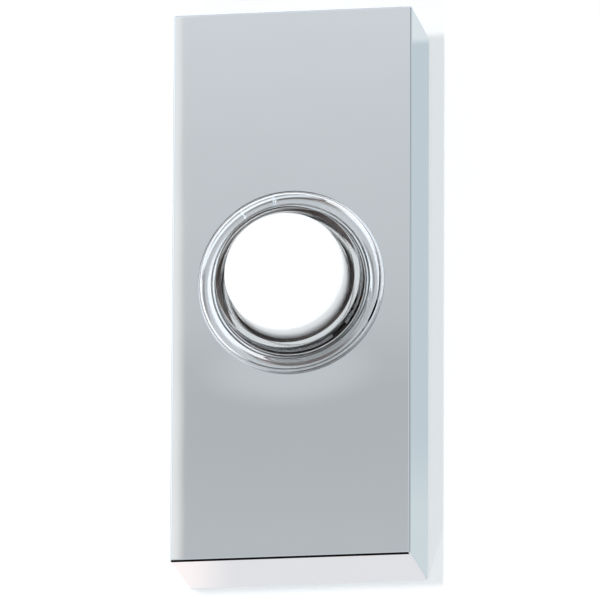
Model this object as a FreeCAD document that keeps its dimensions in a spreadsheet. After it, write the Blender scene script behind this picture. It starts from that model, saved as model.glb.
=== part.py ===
import FreeCAD, Part
import os
import re

import Sketcher

# Surface-mounted doorbell push button.
# Every piece is drawn lying on its back with its front upwards, then stood up against the wall:
# sketch right is the object's right, sketch up is up the wall, and height above the sketch is
# distance from the wall. The wall is the plane through the origin.

Vector = FreeCAD.Vector
Constraint = Sketcher.Constraint
closeEnough = 1e-4

sizes = (
    # Pressed metal cover
    ("cover_width", 38.1),
    ("cover_height", 88.9),
    ("cover_depth", 18.0),  # from the wall to the front face
    ("side_thickness", 1.8),
    ("face_thickness", 1.8),
    ("edge_radius", 0.4),
    ("rim_gap", 0.3),  # the rim stops short of the wall
    ("hole_clearance", 0.2),
    ("catch_offset", 24.0),
    ("catch_length", 8.0),
    ("catch_distance", 5.0),
    ("catch_thickness", 1.2),
    ("catch_projection", 0.8),
    # Clear lens ring
    ("barrel_thickness", 2.5),  # outside the bore
    ("barrel_length", 3.8),  # from the cover's front face backwards
    ("bead_width", 2.7),
    ("groove_width", 0.3),  # between the foot of the collar and the bead
    ("bead_height", 1.6),
    ("bead_land", 0.05),  # left flat beside the roundings of the bead
    ("channel_inner_wall", 0.55),  # the bead is hollow underneath
    ("channel_outer_wall", 0.6),
    ("channel_depth", 0.9),
    ("web_thickness", 0.4),
    ("collar_thickness", 2.0),
    ("collar_taper", 0.4),  # from its foot to its crest
    ("collar_height", 3.6),
    ("crest_width", 0.75),
    ("crest_bevel", 0.2),
    ("funnel_depth", 0.6),
    ("lug_count", 4),
    ("lug_width", 3.0),
    ("lug_projection", 0.6),
    ("lug_thickness", 0.65),
    # Retaining ring behind the cover
    ("retainer_width", 2.4),
    ("retainer_thickness", 1.2),
    ("retainer_clearance", 0.05),
    ("notch_clearance", 0.2),
    # Cap and plunger
    ("cap_radius", 9.5),
    ("cap_clearance", 0.3),
    ("cap_projection", 7.2),  # above the cover's front face
    ("cap_wall_thickness", 1.2),
    ("cap_face_thickness", 1.2),
    ("cap_edge_radius", 0.6),
    ("flange_width", 1.2),  # beyond the lens bore
    ("flange_thickness", 1.2),
    ("socket_boss_radius", 3.2),
    ("socket_boss_length", 3.0),
    ("spigot_radius", 1.8),
    ("spigot_length", 2.6),
    ("spigot_clearance", 0.03),
    ("head_margin", 0.55),  # beyond the coil
    ("head_thickness", 1.0),
    ("plunger_radius", 2.5),
    ("press_travel", 1.5),
    ("stop_clearance", 0.3),
    # Retaining clip on the plunger
    ("clip_radius", 4.0),
    ("clip_thickness", 0.4),
    ("clip_play_clearance", 0.15),
    ("clip_groove_depth", 0.5),
    ("clip_fit_clearance", 0.03),
    ("clip_relief_radius", 0.55),
    ("foot_length", 0.6),
    # Return spring
    ("coil_radius", 4.0),
    ("wire_radius", 0.25),
    ("coil_turns", 5.5),
    ("coil_clearance", 0.05),
    # Guide plate over the switch housing
    ("guide_thickness", 1.4),
    ("guide_clearance", 0.05),
    ("sleeve_clearance", 0.35),  # inside the coil
    ("sleeve_length", 2.6),
    ("ledge_inset", 0.4),  # from the edges of the board
    ("ledge_height", 0.8),
    ("lip_length", 20.0),
    ("lip_thickness", 1.0),
    ("lip_depth", 1.0),
    ("lip_clearance", 0.1),
    # Switch housing
    ("housing_clearance", 2.25),  # to the cover, with room for the hooks
    ("housing_height", 36.0),
    ("housing_thickness", 1.6),
    ("housing_corner_radius", 3.0),
    ("cavity_corner_radius", 1.4),
    ("pocket_end", 6.0),  # solid ends of the housing
    ("partition_distance", 4.8),  # from the wall
    ("partition_thickness", 1.2),
    ("screw_boss_radius", 2.6),
    ("screw_inset", 2.8),
    ("channel_clearance", 0.2),
    ("channel_thickness", 0.8),
    ("channel_height", 1.0),
    # Screws through the guide plate
    ("screw_radius", 1.0),
    ("screw_clearance", 0.05),
    ("screw_head_radius", 1.9),
    ("screw_head_height", 1.2),
    ("screw_slot_width", 0.5),
    ("screw_slot_depth", 0.6),
    ("screw_tip_distance", 0.4),  # from the wall
    # Contacts and terminals
    ("strip_width", 4.0),
    ("strip_tail_length", 2.3),  # beyond the terminal screw
    ("strip_corner_radius", 0.8),
    ("fixed_thickness", 0.4),
    ("leaf_thickness", 0.25),
    ("leaf_seat_distance", 5.6),
    ("leaf_ramp_distance", 3.4),
    ("leaf_height", 2.15),
    ("leaf_tip_length", 0.5),  # beyond the contact button
    ("contact_offset", 4.6),
    ("contact_radius", 0.9),
    ("contact_depth", 0.3),
    ("rivet_head_radius", 1.3),
    ("rivet_shank_radius", 0.8),
    ("rivet_head_height", 0.5),
    ("terminal_radius", 1.5),
    ("terminal_clearance", 0.03),
    ("terminal_hole_clearance", 0.2),
    ("terminal_head_radius", 2.7),
    ("terminal_head_height", 1.6),
    ("terminal_slot_width", 0.8),
    ("terminal_slot_depth", 0.7),
    ("washer_radius", 3.4),
    ("washer_thickness", 0.6),
    ("washer_clearance", 0.1),
    ("washer_wall_clearance", 0.5),
    # Lamp board
    ("board_clearance", 0.5),  # inside the cap
    ("board_coil_clearance", 0.65),
    ("board_thickness", 1.0),
    ("lamp_width", 1.9),
    ("lamp_height", 0.9),
    ("lamp_lens_radius", 0.7),
    ("lamp_lens_height", 0.25),
    ("lead_radius", 0.3),
    ("lead_clearance", 0.15),
    ("solder_radius", 0.75),
    ("solder_height", 0.35),
    ("resistor_length", 3.2),
    ("resistor_width", 1.6),
    ("resistor_height", 0.5),
    ("resistor_cap_length", 0.5),
    ("resistor_cap_projection", 0.06),
    # Mounting plate
    ("plate_clearance", 0.25),
    ("plate_thickness", 2.2),
    ("plate_corner_radius", 1.0),
    ("rim_thickness", 0.8),
    ("rim_height", 1.2),
    ("mount_spacing", 70.0),
    ("mount_hole_radius", 2.2),
    ("mount_boss_radius", 4.2),
    ("mount_boss_height", 1.2),
    ("hook_width", 7.0),
    ("hook_thickness", 1.4),
    ("hook_clearance", 0.15),
    ("nose_projection", 0.7),
    ("nose_land_height", 0.5),
    ("nose_slope_height", 0.95),
)

# Heights from the wall and fits that follow from the sizes above
relations = {
    "inside_x": "(cover_width / 2 - side_thickness)",
    "inside_y": "(cover_height / 2 - side_thickness)",
    "inside_face": "(cover_depth - face_thickness)",
    "lens_bore": "(cap_radius + cap_clearance)",
    "barrel_radius": "(lens_bore + barrel_thickness)",
    "collar_radius": "(lens_bore + collar_thickness)",
    "crest_radius": "(collar_radius - collar_taper)",
    "crest_inner_radius": "(crest_radius - crest_width)",
    "bead_inner_radius": "(collar_radius + groove_width)",
    "bead_outer_radius": "(bead_inner_radius + bead_width)",
    "bead_outer_fillet": "(min(bead_height; bead_width / 2) - bead_land)",
    "bead_inner_fillet": "(min(bead_height - web_thickness; bead_width / 2) - bead_land)",
    "channel_inner_radius": "(bead_inner_radius + channel_inner_wall)",
    "channel_outer_radius": "(bead_outer_radius - channel_outer_wall)",
    "flange_radius": "(lens_bore + flange_width)",
    "head_radius": "(coil_radius + wire_radius + head_margin)",
    "clip_groove_radius": "(plunger_radius - clip_groove_depth)",
    "sleeve_radius": "(coil_radius - wire_radius - sleeve_clearance)",
    "board_outer_radius": "(cap_radius - cap_wall_thickness - board_clearance)",
    "board_inner_radius": "(coil_radius + wire_radius + board_coil_clearance)",
    "lamp_ring_radius": "((board_inner_radius + board_outer_radius) / 2)",
    "lens_back": "(cover_depth - barrel_length)",
    "flange_back": "(lens_back - flange_thickness)",
    "cap_front": "(cover_depth + cap_projection)",
    "head_front": "(cap_front - cap_face_thickness - socket_boss_length)",
    "head_back": "(head_front - head_thickness)",
    "guide_front": "(flange_back - press_travel - stop_clearance)",
    "guide_back": "(guide_front - guide_thickness)",
    "foot_back": "(guide_back - clip_play_clearance - clip_thickness - foot_length)",
    "partition_front": "(partition_distance + partition_thickness)",
    "board_back": "(guide_front + ledge_height)",
    "board_front": "(board_back + board_thickness)",
    "plate_x": "(inside_x - plate_clearance)",
    "plate_y": "(inside_y - plate_clearance)",
    "housing_x": "(inside_x - housing_clearance)",
    "housing_y": "(housing_height / 2)",
    "pocket_x": "(housing_x - housing_thickness)",
    "pocket_y": "(housing_y - pocket_end)",
    "screw_x": "(housing_x - screw_inset)",
    "screw_y": "(housing_y - screw_inset)",
    "terminal_offset": "(pocket_x - washer_radius - washer_wall_clearance)",
    "strip_end": "(terminal_offset + strip_tail_length)",
    "fixed_end": "(contact_offset - rivet_head_radius)",
    "leaf_tip": "(contact_offset + contact_radius + leaf_tip_length)",
    "hook_outer": "(inside_x - catch_projection - hook_clearance)",
    "nose_low": "(catch_distance + catch_thickness + hook_clearance)",
}

doc = FreeCAD.newDocument("doorbell_push")
sheet = doc.addObject("Spreadsheet::Sheet", "Sizes")
for row, (alias, size) in enumerate(sizes, 1):
    sheet.set("A%d" % row, alias)
    sheet.set("B%d" % row, str(size))
    sheet.setAlias("B%d" % row, alias)
doc.recompute()
sizeNames = {alias for alias, size in sizes}


def formula(text):
    def expand(match):
        word = match.group(0)
        if word in relations:
            return formula(relations[word])
        return "Sizes." + word if word in sizeNames else word

    return re.sub(r"[a-z_]+", expand, text)


def value(text):
    return float(sheet.evalExpression(formula(text)))


def addBody(name, seat="0", x="0", y="0"):
    body = doc.addObject("PartDesign::Body", name)
    body.Label = name
    body.AllowCompound = True
    body.Placement = FreeCAD.Placement(Vector(), FreeCAD.Rotation(Vector(1, 0, 0), 90))
    body.setExpression("Placement.Base.x", formula(x))
    body.setExpression("Placement.Base.y", formula("-(%s)" % seat))
    body.setExpression("Placement.Base.z", formula(y))
    return body


def originPlane(body, role):
    return [item for item in body.Origin.OriginFeatures if item.Role == role][0]


def addSketch(body, name, height="0", plane="XY_Plane"):
    sketch = body.newObject("Sketcher::SketchObject", body.Name + "_" + name)
    sketch.AttachmentSupport = [(originPlane(body, plane), "")]
    sketch.MapMode = "FlatFace"
    sketch.setExpression("AttachmentOffset.Base.z", formula(height))
    return sketch


def pinPoint(sketch, item, end, x, y):
    for kind, text in (("DistanceX", x), ("DistanceY", y)):
        index = sketch.addConstraint(Constraint(kind, -1, 1, item, end, value(text)))
        sketch.setExpression("Constraints[%d]" % index, formula(text))


def drawOutline(sketch, points):
    first = sketch.GeometryCount
    spots = [Vector(value(x), value(y), 0) for x, y in points]
    for index, spot in enumerate(spots):
        sketch.addGeometry(Part.LineSegment(spot, spots[(index + 1) % len(spots)]), False)
    for index in range(len(spots)):
        after = first + (index + 1) % len(spots)
        sketch.addConstraint(Constraint("Coincident", first + index, 2, after, 1))
    for index, (x, y) in enumerate(points):
        pinPoint(sketch, first + index, 1, x, y)


def drawBox(sketch, left, right, low, high):
    drawOutline(sketch, [(left, low), (right, low), (right, high), (left, high)])


def drawCentredBox(sketch, halfWide, halfTall, x="0", y="0"):
    left, right = "%s - (%s)" % (x, halfWide), "%s + (%s)" % (x, halfWide)
    low, high = "%s - (%s)" % (y, halfTall), "%s + (%s)" % (y, halfTall)
    drawBox(sketch, left, right, low, high)


def drawPolygon(sketch, sides, radius, x="0", y="0"):
    points = []
    for index in range(sides):
        angle = 360 * (index + 0.5) / sides
        points.append(("%s + %s * cos(%g)" % (x, radius, angle), "%s + %s * sin(%g)" % (y, radius, angle)))
    drawOutline(sketch, points)


def drawCircle(sketch, radius, x="0", y="0"):
    spot = Vector(value(x), value(y), 0)
    item = sketch.addGeometry(Part.Circle(spot, Vector(0, 0, 1), value(radius)), False)
    pinPoint(sketch, item, 3, x, y)
    index = sketch.addConstraint(Constraint("Radius", item, value(radius)))
    sketch.setExpression("Constraints[%d]" % index, formula(radius))


def pad(body, sketch, length, bothWays=False):
    feature = body.newObject("PartDesign::Pad", sketch.Name + "_pad")
    feature.Profile = (sketch, [""])
    feature.setExpression("Length", formula(length))
    if bothWays:
        feature.Midplane = True
    return feature


# Cuts run from their sketch towards the front, and must take something away.
def cut(body, sketch, length):
    doc.recompute()
    before = body.Tip.Shape.Volume
    feature = body.newObject("PartDesign::Pocket", sketch.Name + "_cut")
    feature.Profile = (sketch, [""])
    feature.Reversed = True
    feature.setExpression("Length", formula(length))
    doc.recompute()
    if body.Tip.Shape.Volume > before - closeEnough:
        raise ValueError(sketch.Name + " removes nothing")
    return feature


def revolve(body, points):
    sketch = addSketch(body, "profile", plane="XZ_Plane")
    drawOutline(sketch, points)
    feature = body.newObject("PartDesign::Revolution", body.Name + "_turned")
    feature.Profile = (sketch, [""])
    feature.ReferenceAxis = (sketch, ["V_Axis"])
    feature.Angle = 360
    return feature


def repeatRound(body, feature, sketch, count):
    pattern = body.newObject("PartDesign::PolarPattern", feature.Name + "_round")
    pattern.Originals = [feature]
    pattern.Axis = (sketch, ["N_Axis"])
    pattern.Angle = 360
    pattern.setExpression("Occurrences", formula(count))
    body.Tip = pattern
    return pattern


def mirrorSideways(body, feature):
    mirror = body.newObject("PartDesign::Mirrored", feature.Name + "_mirror")
    mirror.Originals = [feature]
    mirror.MirrorPlane = (originPlane(body, "YZ_Plane"), [""])
    body.Tip = mirror
    return mirror


def dressEdges(body, name, kind, sizeName, size, wanted):
    doc.recompute()
    tip = body.Tip
    names = []
    for index, edge in enumerate(tip.Shape.Edges, 1):
        if wanted(edge):
            names.append("Edge%d" % index)
    if not names:
        raise ValueError(body.Name + " has no edge for " + name)
    feature = body.newObject("PartDesign::" + kind, body.Name + "_" + name)
    feature.Base = (tip, names)
    feature.setExpression(sizeName, formula(size))


def roundEdges(body, name, radius, wanted):
    dressEdges(body, name, "Fillet", "Radius", radius, wanted)


def bevelEdges(body, name, width, wanted):
    dressEdges(body, name, "Chamfer", "Size", width, wanted)


def near(first, second):
    return abs(first - second) < closeEnough


def isUpright(edge):
    box = edge.BoundBox
    return near(box.XLength, 0) and near(box.YLength, 0)


def uprightAt(x, y):
    def wanted(edge):
        box = edge.BoundBox
        return isUpright(edge) and near(abs(box.XMin), value(x)) and near(abs(box.YMin), value(y))

    return wanted


def atHeight(height):
    def wanted(edge):
        return near(edge.BoundBox.ZMin, value(height)) and near(edge.BoundBox.ZMax, value(height))

    return wanted


def circleAt(radius, height):
    def wanted(edge):
        isArc = isinstance(edge.Curve, Part.Circle)
        return isArc and near(edge.Curve.Radius, value(radius)) and atHeight(height)(edge)

    return wanted


cornerSigns = ((-1, -1), (1, -1), (1, 1), (-1, 1))


def drawAtScrews(sketch, draw):
    for across, up in cornerSigns:
        draw(sketch, "%d * screw_x" % across, "%d * screw_y" % up)


def makeFrontCover():
    body = addBody("front_cover", "rim_gap")
    outside = addSketch(body, "outside")
    drawCentredBox(outside, "cover_width / 2", "cover_height / 2")
    pad(body, outside, "cover_depth - rim_gap")
    front = atHeight("cover_depth - rim_gap")
    roundEdges(body, "edges", "edge_radius", lambda edge: isUpright(edge) or front(edge))
    inside = addSketch(body, "inside")
    drawCentredBox(inside, "inside_x", "inside_y")
    cut(body, inside, "inside_face - rim_gap")
    hole = addSketch(body, "hole", "inside_face - rim_gap")
    drawCircle(hole, "barrel_radius + hole_clearance")
    cut(body, hole, "face_thickness")
    # Catches inside the long walls, held by the plate's hooks
    catches = addSketch(body, "catches", "catch_distance - rim_gap")
    for up in (-1, 1):
        low, high = "%d * catch_offset - catch_length / 2" % up, "%d * catch_offset + catch_length / 2" % up
        drawBox(catches, "inside_x - catch_projection", "inside_x + side_thickness / 2", low, high)
    mirrorSideways(body, pad(body, catches, "catch_thickness"))


def makeLensRing():
    body = addBody("lens_ring", "lens_back")
    beadTop = "barrel_length + bead_height"
    channelTop = "barrel_length + channel_depth"
    web = "barrel_length + web_thickness"
    crest = "barrel_length + collar_height"
    revolve(
        body,
        [
            ("lens_bore", "0"),
            ("barrel_radius", "0"),
            ("barrel_radius", "barrel_length"),
            ("channel_inner_radius", "barrel_length"),
            ("channel_inner_radius", channelTop),
            ("channel_outer_radius", channelTop),
            ("channel_outer_radius", "barrel_length"),
            ("bead_outer_radius", "barrel_length"),
            ("bead_outer_radius", beadTop),
            ("bead_inner_radius", beadTop),
            ("bead_inner_radius", web),
            ("collar_radius", web),
            ("crest_radius", crest),
            ("crest_inner_radius", crest),
            ("lens_bore", crest + " - funnel_depth"),
        ],
    )
    roundEdges(body, "bead_outside", "bead_outer_fillet", circleAt("bead_outer_radius", beadTop))
    roundEdges(body, "bead_inside", "bead_inner_fillet", circleAt("bead_inner_radius", beadTop))
    bevelEdges(body, "crest_bevel", "crest_bevel", circleAt("crest_radius", crest))
    # Bayonet lugs at the back of the barrel
    lug = addSketch(body, "lug")
    drawBox(
        lug,
        "(lens_bore + barrel_radius) / 2",
        "barrel_radius + lug_projection",
        "-lug_width / 2",
        "lug_width / 2",
    )
    repeatRound(body, pad(body, lug, "lug_thickness"), lug, "lug_count")


def makeLensRetainer():
    body = addBody("lens_retainer", "inside_face - retainer_thickness")
    ring = addSketch(body, "ring")
    drawCircle(ring, "barrel_radius + retainer_width")
    drawCircle(ring, "barrel_radius + retainer_clearance")
    pad(body, ring, "retainer_thickness")
    # Notches that let the lugs through before the ring is turned
    notch = addSketch(body, "notch")
    notch.setExpression("AttachmentOffset.Rotation.Angle", formula("180 / lug_count"))
    drawBox(
        notch,
        "barrel_radius / 2",
        "barrel_radius + lug_projection + notch_clearance",
        "-lug_width / 2 - notch_clearance",
        "lug_width / 2 + notch_clearance",
    )
    repeatRound(body, cut(body, notch, "retainer_thickness"), notch, "lug_count")


def makeButtonCap():
    body = addBody("button_cap", "flange_back")
    front = "cap_front - flange_back"
    underside = front + " - cap_face_thickness"
    socket = "spigot_radius + spigot_clearance"
    socketMouth = "head_front - flange_back"
    revolve(
        body,
        [
            ("cap_radius - cap_wall_thickness", "0"),
            ("flange_radius", "0"),
            ("flange_radius", "flange_thickness"),
            ("cap_radius", "flange_thickness"),
            ("cap_radius", front),
            ("0", front),
            ("0", underside),
            (socket, underside),
            (socket, socketMouth),
            ("socket_boss_radius", socketMouth),
            ("socket_boss_radius", underside),
            ("cap_radius - cap_wall_thickness", underside),
        ],
    )
    roundEdges(body, "edge", "cap_edge_radius", circleAt("cap_radius", front))


def makePlunger():
    body = addBody("plunger", "foot_back")
    grooveFront = "foot_length + clip_thickness + clip_fit_clearance"
    head = "head_back - foot_back"
    headFront = "head_front - foot_back"
    revolve(
        body,
        [
            ("0", "0"),
            ("plunger_radius", "0"),
            ("plunger_radius", "foot_length"),
            ("clip_groove_radius", "foot_length"),
            ("clip_groove_radius", grooveFront),
            ("plunger_radius", grooveFront),
            ("plunger_radius", head),
            ("head_radius", head),
            ("head_radius", headFront),
            ("spigot_radius", headFront),
            ("spigot_radius", headFront + " + spigot_length"),
            ("0", headFront + " + spigot_length"),
        ],
    )


def makePlungerClip():
    body = addBody("plunger_clip", "foot_back + foot_length")
    disc = addSketch(body, "disc")
    drawCircle(disc, "clip_radius")
    drawCircle(disc, "clip_groove_radius + clip_fit_clearance")
    pad(body, disc, "clip_thickness")
    # Open mouth, and the two reliefs that let the jaws spread
    mouth = addSketch(body, "mouth")
    drawBox(mouth, "-clip_groove_radius * 0.9", "clip_groove_radius * 0.9", "-clip_radius * 1.1", "0")
    cut(body, mouth, "clip_thickness")
    reliefs = addSketch(body, "reliefs")
    for side in (-1, 1):
        x = "%d * (clip_groove_radius + clip_relief_radius / 2)" % side
        drawCircle(reliefs, "clip_relief_radius", x, "clip_relief_radius")
    cut(body, reliefs, "clip_thickness")


def makeReturnSpring():
    body = addBody("return_spring", "guide_front + coil_clearance + wire_radius")
    # The round wire is drawn with eight sides, to keep the coil light.
    wire = addSketch(body, "wire", plane="XZ_Plane")
    drawPolygon(wire, 8, "wire_radius", "coil_radius")
    coil = body.newObject("PartDesign::AdditiveHelix", "return_spring_coil")
    coil.Profile = (wire, [""])
    coil.ReferenceAxis = (wire, ["V_Axis"])
    coil.Mode = "height-turns-angle"
    coil.setExpression("Height", formula("head_back - guide_front - 2 * (coil_clearance + wire_radius)"))
    coil.setExpression("Turns", formula("coil_turns"))


def makeLampBoard():
    body = addBody("lamp_board", "board_back")
    disc = addSketch(body, "disc")
    drawCircle(disc, "board_outer_radius")
    drawCircle(disc, "board_inner_radius")
    for side in (-1, 1):
        drawCircle(disc, "lead_radius + lead_clearance", "%d * lamp_ring_radius" % side)
    pad(body, disc, "board_thickness")


def makeLamp(name, across, up):
    spot = "%d * lamp_ring_radius * sqrt(0.5)"
    body = addBody(name, "board_front", spot % across, spot % up)
    case = addSketch(body, "case")
    drawCentredBox(case, "lamp_width / 2", "lamp_width / 2")
    pad(body, case, "lamp_height")
    lens = addSketch(body, "lens", "lamp_height")
    drawCircle(lens, "lamp_lens_radius")
    pad(body, lens, "lamp_lens_height")


def makeResistor():
    body = addBody("board_resistor", "board_front", y="-lamp_ring_radius")
    chip = addSketch(body, "chip")
    drawCentredBox(chip, "resistor_length / 2", "resistor_width / 2")
    pad(body, chip, "resistor_height")
    # Plated ends, a little thicker than the chip
    ends = addSketch(body, "ends")
    halfTall = "resistor_width / 2 + resistor_cap_projection"
    for side in (-1, 1):
        middle = "%d * (resistor_length - resistor_cap_length) / 2" % side
        drawCentredBox(ends, "resistor_cap_length / 2", halfTall, middle)
    pad(body, ends, "resistor_height + resistor_cap_projection")


def makeBoardLeads():
    body = addBody("board_leads", "board_front")
    solder = addSketch(body, "solder")
    for side in (-1, 1):
        drawCircle(solder, "solder_radius", "%d * lamp_ring_radius" % side)
    pad(body, solder, "solder_height")
    # The wires stand on the two contact strips.
    for side, strip in ((-1, "fixed_thickness"), (1, "leaf_thickness")):
        length = "board_front - partition_front - " + strip
        name = "left_wire" if side < 0 else "right_wire"
        wire = addSketch(body, name, "-(%s)" % length)
        drawCircle(wire, "lead_radius", "%d * lamp_ring_radius" % side)
        pad(body, wire, length + " + solder_height")


def makeGuidePlate():
    body = addBody("guide_plate", "guide_back")
    plate = addSketch(body, "plate")
    drawCentredBox(plate, "housing_x", "housing_y")
    pad(body, plate, "guide_thickness")
    roundEdges(body, "corners", "housing_corner_radius", isUpright)
    ledge = addSketch(body, "ledge", "guide_thickness")
    drawCircle(ledge, "board_outer_radius - ledge_inset")
    drawCircle(ledge, "board_inner_radius + ledge_inset")
    pad(body, ledge, "ledge_height")
    sleeve = addSketch(body, "sleeve", "guide_thickness")
    drawCircle(sleeve, "sleeve_radius")
    pad(body, sleeve, "sleeve_length")
    # Lips that drop inside the housing's long walls
    lips = addSketch(body, "lips", "-lip_depth")
    outer = "(pocket_x - lip_clearance)"
    for side in (-1, 1):
        middle = "%d * (%s - lip_thickness / 2)" % (side, outer)
        drawCentredBox(lips, "lip_thickness / 2", "lip_length / 2", middle)
    pad(body, lips, "lip_depth")
    bore = addSketch(body, "bore")
    drawCircle(bore, "plunger_radius + guide_clearance")
    cut(body, bore, "guide_thickness + sleeve_length")
    holes = addSketch(body, "holes")
    drawAtScrews(holes, lambda sketch, x, y: drawCircle(sketch, "screw_radius + screw_clearance", x, y))
    for side in (-1, 1):
        drawCircle(holes, "lead_radius + lead_clearance", "%d * lamp_ring_radius" % side)
    cut(body, holes, "guide_thickness + ledge_height")


def makeSwitchHousing():
    body = addBody("switch_housing", "plate_thickness")
    partitionBack = "partition_distance - plate_thickness"
    partitionFront = "partition_front - plate_thickness"
    top = "guide_back - plate_thickness"
    outside = addSketch(body, "outside")
    drawCentredBox(outside, "housing_x", "housing_y")
    pad(body, outside, top)
    roundEdges(body, "corners", "housing_corner_radius", isUpright)
    cavity = addSketch(body, "cavity", partitionFront)
    drawCentredBox(cavity, "pocket_x", "housing_y - housing_thickness")
    cut(body, cavity, "guide_back - partition_front")
    cavityCorner = uprightAt("pocket_x", "housing_y - housing_thickness")
    roundEdges(body, "cavity_corners", "cavity_corner_radius", cavityCorner)
    # Wiring pocket, open to the wall
    pocket = addSketch(body, "pocket")
    drawCentredBox(pocket, "pocket_x", "pocket_y")
    cut(body, pocket, partitionBack)
    roundEdges(body, "pocket_corners", "cavity_corner_radius", uprightAt("pocket_x", "pocket_y"))
    bosses = addSketch(body, "bosses", partitionFront)
    drawAtScrews(bosses, lambda sketch, x, y: drawCircle(sketch, "screw_boss_radius", x, y))
    pad(body, bosses, "guide_back - partition_front")
    # Ribs that keep the contact strips straight
    ribs = addSketch(body, "ribs", partitionFront)
    ribMiddle = "strip_width / 2 + channel_clearance + channel_thickness / 2"
    for up in (-1, 1):
        low = "%d * (%s) - channel_thickness / 2" % (up, ribMiddle)
        high = "%d * (%s) + channel_thickness / 2" % (up, ribMiddle)
        drawBox(ribs, "-strip_end", "-fixed_end", low, high)
        drawBox(ribs, "leaf_seat_distance", "strip_end", low, high)
    pad(body, ribs, "channel_height")
    screws = addSketch(body, "screws")
    drawAtScrews(screws, lambda sketch, x, y: drawCircle(sketch, "screw_radius + screw_clearance", x, y))
    cut(body, screws, top)
    terminals = addSketch(body, "terminals", partitionBack)
    for side in (-1, 1):
        drawCircle(terminals, "terminal_radius + terminal_hole_clearance", "%d * terminal_offset" % side)
    cut(body, terminals, "partition_thickness")


def makeHousingScrews():
    body = addBody("housing_screws", "guide_front")
    shanks = addSketch(body, "shanks", "screw_tip_distance - guide_front")
    drawAtScrews(shanks, lambda sketch, x, y: drawCircle(sketch, "screw_radius", x, y))
    pad(body, shanks, "guide_front - screw_tip_distance + screw_head_height / 2")
    heads = addSketch(body, "heads")
    drawAtScrews(heads, lambda sketch, x, y: drawCircle(sketch, "screw_head_radius", x, y))
    pad(body, heads, "screw_head_height")
    headTop = circleAt("screw_head_radius", "screw_head_height")
    bevelEdges(body, "head_bevels", "screw_head_height / 3", headTop)
    # Driving slots
    slots = addSketch(body, "slots", "screw_head_height - screw_slot_depth")
    halfSlot = ("screw_head_radius * 1.1", "screw_slot_width / 2")
    drawAtScrews(slots, lambda sketch, x, y: drawCentredBox(sketch, *halfSlot, x, y))
    cut(body, slots, "screw_slot_depth")


def makeFixedContact():
    body = addBody("fixed_contact", "partition_front")
    strip = addSketch(body, "strip")
    drawBox(strip, "-strip_end", "-fixed_end", "-strip_width / 2", "strip_width / 2")
    pad(body, strip, "fixed_thickness")
    roundEdges(body, "corners", "strip_corner_radius", isUpright)
    holes = addSketch(body, "holes")
    drawCircle(holes, "terminal_radius + terminal_clearance", "-terminal_offset")
    drawCircle(holes, "rivet_shank_radius + terminal_clearance", "-contact_offset")
    cut(body, holes, "fixed_thickness")


def makeContactRivet():
    body = addBody("contact_rivet", "partition_front", "-contact_offset")
    revolve(
        body,
        [
            ("0", "0"),
            ("rivet_shank_radius", "0"),
            ("rivet_shank_radius", "fixed_thickness"),
            ("rivet_head_radius", "fixed_thickness"),
            ("rivet_head_radius", "fixed_thickness + rivet_head_height"),
            ("0", "fixed_thickness + rivet_head_height"),
        ],
    )
    headTop = circleAt("rivet_head_radius", "fixed_thickness + rivet_head_height")
    bevelEdges(body, "head_bevel", "rivet_head_height / 2", headTop)


def makeMovingContact():
    body = addBody("moving_contact", "partition_front")
    strip = addSketch(body, "strip", plane="XZ_Plane")
    drawOutline(
        strip,
        [
            ("strip_end", "0"),
            ("strip_end", "leaf_thickness"),
            ("leaf_seat_distance", "leaf_thickness"),
            ("leaf_ramp_distance", "leaf_height + leaf_thickness"),
            ("-leaf_tip", "leaf_height + leaf_thickness"),
            ("-leaf_tip", "leaf_height"),
            ("leaf_ramp_distance", "leaf_height"),
            ("leaf_seat_distance", "0"),
        ],
    )
    pad(body, strip, "strip_width", bothWays=True)
    # Contact button formed under the free end
    button = addSketch(body, "button", "leaf_height - contact_depth")
    drawCircle(button, "contact_radius", "-contact_offset")
    pad(body, button, "contact_depth")
    hole = addSketch(body, "hole")
    drawCircle(hole, "terminal_radius + terminal_clearance", "terminal_offset")
    cut(body, hole, "leaf_thickness")


def makeTerminal(side, sign, strip):
    x = "%d * terminal_offset" % sign
    washerBack = "partition_distance - washer_thickness"
    headBack = washerBack + " - terminal_head_height"
    body = addBody("terminal_screw_" + side, headBack, x)
    end = "terminal_head_height + washer_thickness + partition_thickness + " + strip
    revolve(
        body,
        [
            ("0", "0"),
            ("terminal_head_radius", "0"),
            ("terminal_head_radius", "terminal_head_height"),
            ("terminal_radius", "terminal_head_height"),
            ("terminal_radius", end),
            ("0", end),
        ],
    )
    bevelEdges(body, "head_bevel", "terminal_head_height / 3", circleAt("terminal_head_radius", "0"))
    slot = addSketch(body, "slot")
    drawCentredBox(slot, "terminal_head_radius * 1.1", "terminal_slot_width / 2")
    cut(body, slot, "terminal_slot_depth")
    washer = addBody("terminal_washer_" + side, washerBack, x)
    ring = addSketch(washer, "ring")
    drawCircle(ring, "washer_radius")
    drawCircle(ring, "terminal_radius + washer_clearance")
    pad(washer, ring, "washer_thickness")


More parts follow.
